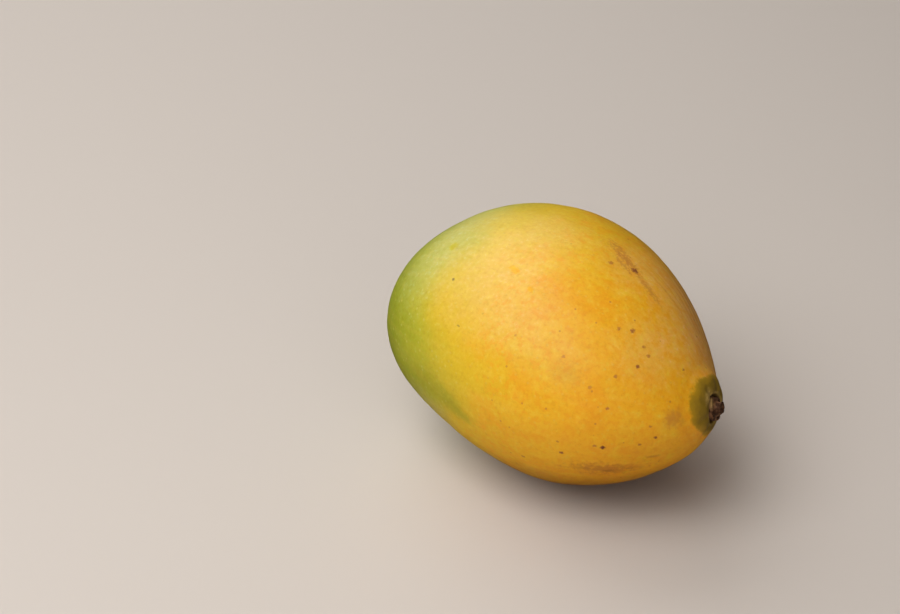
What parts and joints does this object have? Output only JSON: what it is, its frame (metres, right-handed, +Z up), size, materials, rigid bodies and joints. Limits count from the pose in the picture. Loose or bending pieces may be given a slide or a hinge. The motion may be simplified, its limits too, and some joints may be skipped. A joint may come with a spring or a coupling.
{
  "type": "mango",
  "caption": "Whole ripe mango with a green and yellow skin and a short woody stem stub, lying on its flatter side.",
  "frame": {"origin": "on the floor, below the middle of the model's box", "axes": "+X along the fruit towards its stem end, +Y towards its fuller side, +Z up from the resting spot"},
  "size_m": [0.1146, 0.0878, 0.0768],
  "materials": {
    "skin": "satin waxy skin, green to orange-yellow",
    "stub": "dry, dark, cracked wood"
  },
  "bodies": {
    "root": {"fruit": "skin", "stem_stub": "stub"}
  },
  "joints": []
}
